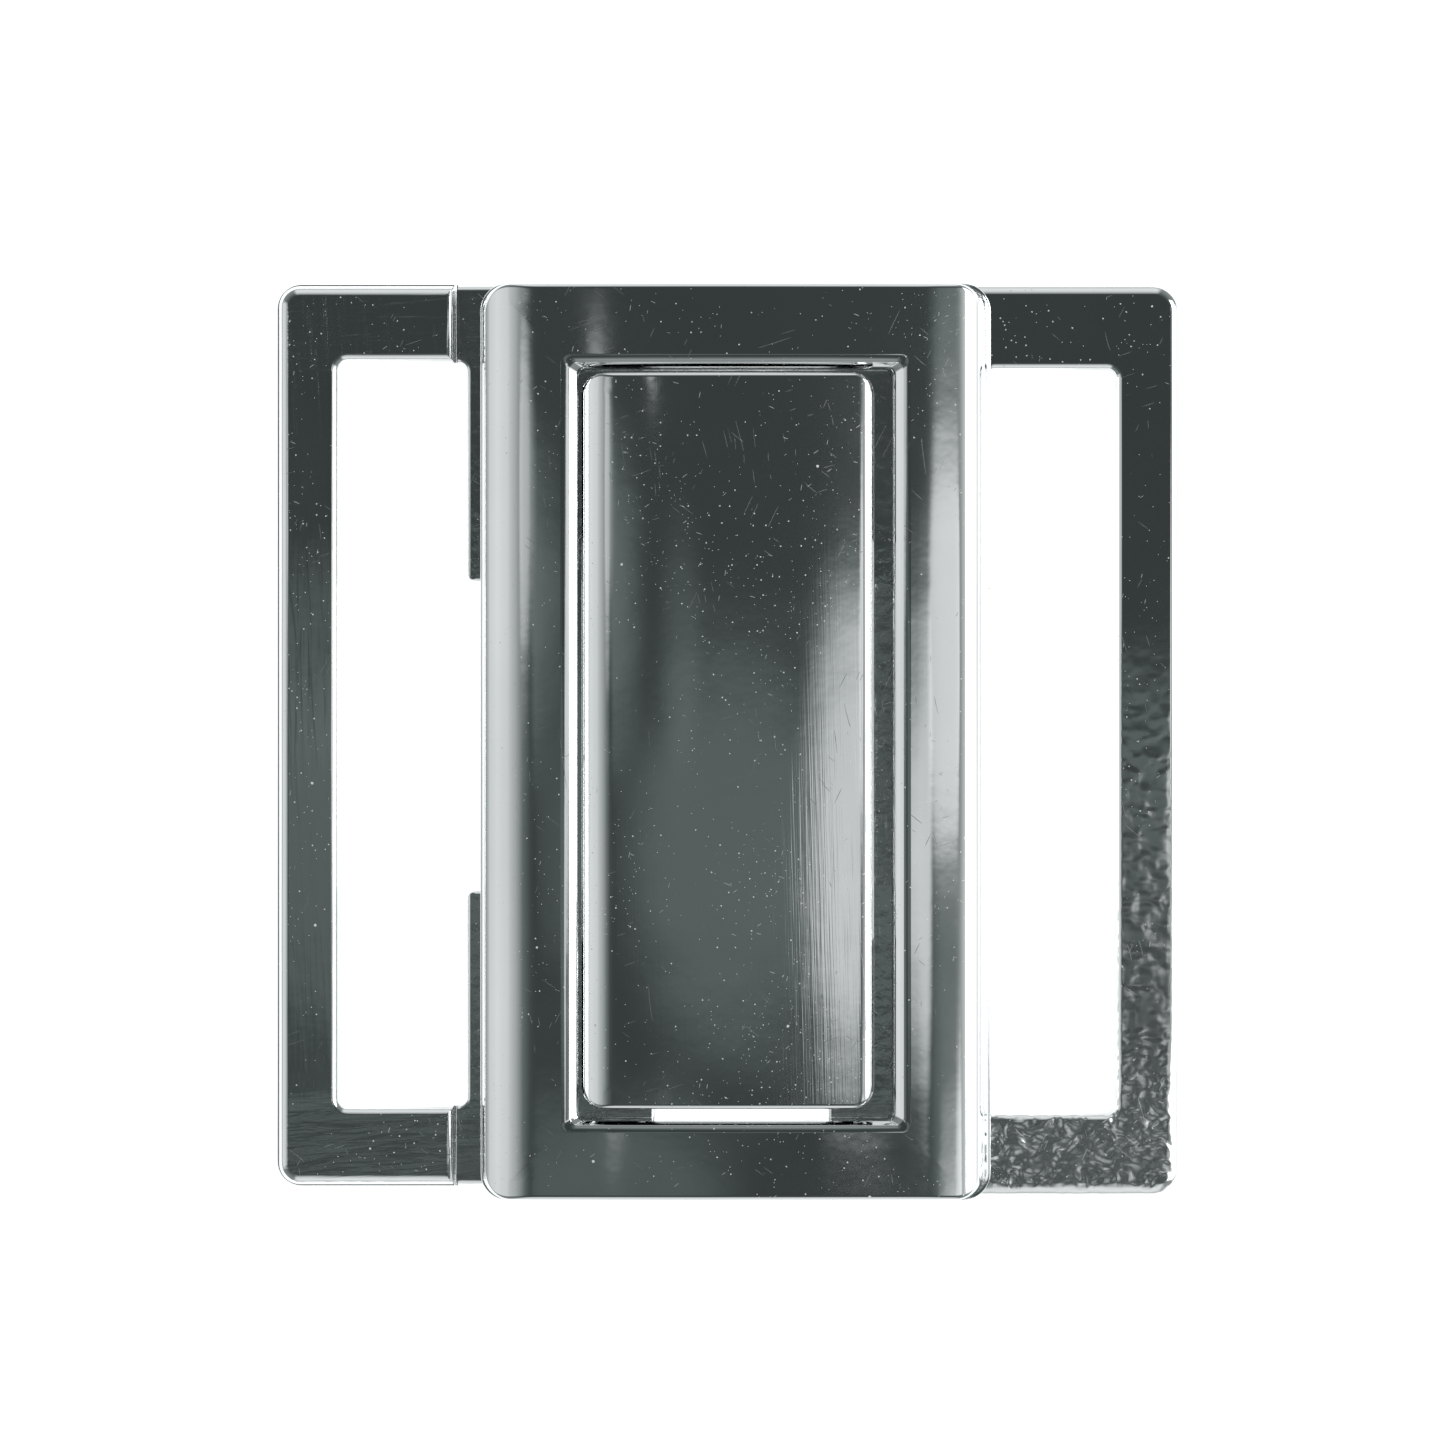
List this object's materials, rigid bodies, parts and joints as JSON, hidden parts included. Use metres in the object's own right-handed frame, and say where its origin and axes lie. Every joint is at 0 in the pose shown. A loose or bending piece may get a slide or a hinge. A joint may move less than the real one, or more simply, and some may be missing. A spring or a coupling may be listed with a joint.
{
  "type": "interlocking belt clasp",
  "caption": "Chrome belt clasp in two halves: a plate with a window hooks over a centre plate, and each half has a strap slot for 40 mm webbing.",
  "frame": {"origin": "middle of the closed clasp in X and Y, on the plane of its back, which is Z = 0", "axes": "+X across the belt's length towards the frame half's strap, +Y along the strap slots, +Z out of the polished face"},
  "size_m": [0.0486, 0.0492, 0.005],
  "materials": {
    "hook_base": "bright chrome plating on a surface left as cast, with faint streaks",
    "centre_plate": "mirror chrome, polished along Y, with fine scratches",
    "front_frame": "mirror chrome with specks and fine scratches",
    "frame_loop": "bright chrome plating with orange peel"
  },
  "bodies": {
    "hook_half": {"hook_base": "hook_base", "centre_plate": "centre_plate"},
    "frame_half": {"front_frame": "front_frame", "frame_loop": "frame_loop"}
  },
  "joints": [
    {"name": "unhook_lift", "type": "slide", "parent": "hook_half", "child": "frame_half", "axis": [-0.3846, 0, 0.9231], "range_m": [0, 0.012]}
  ]
}
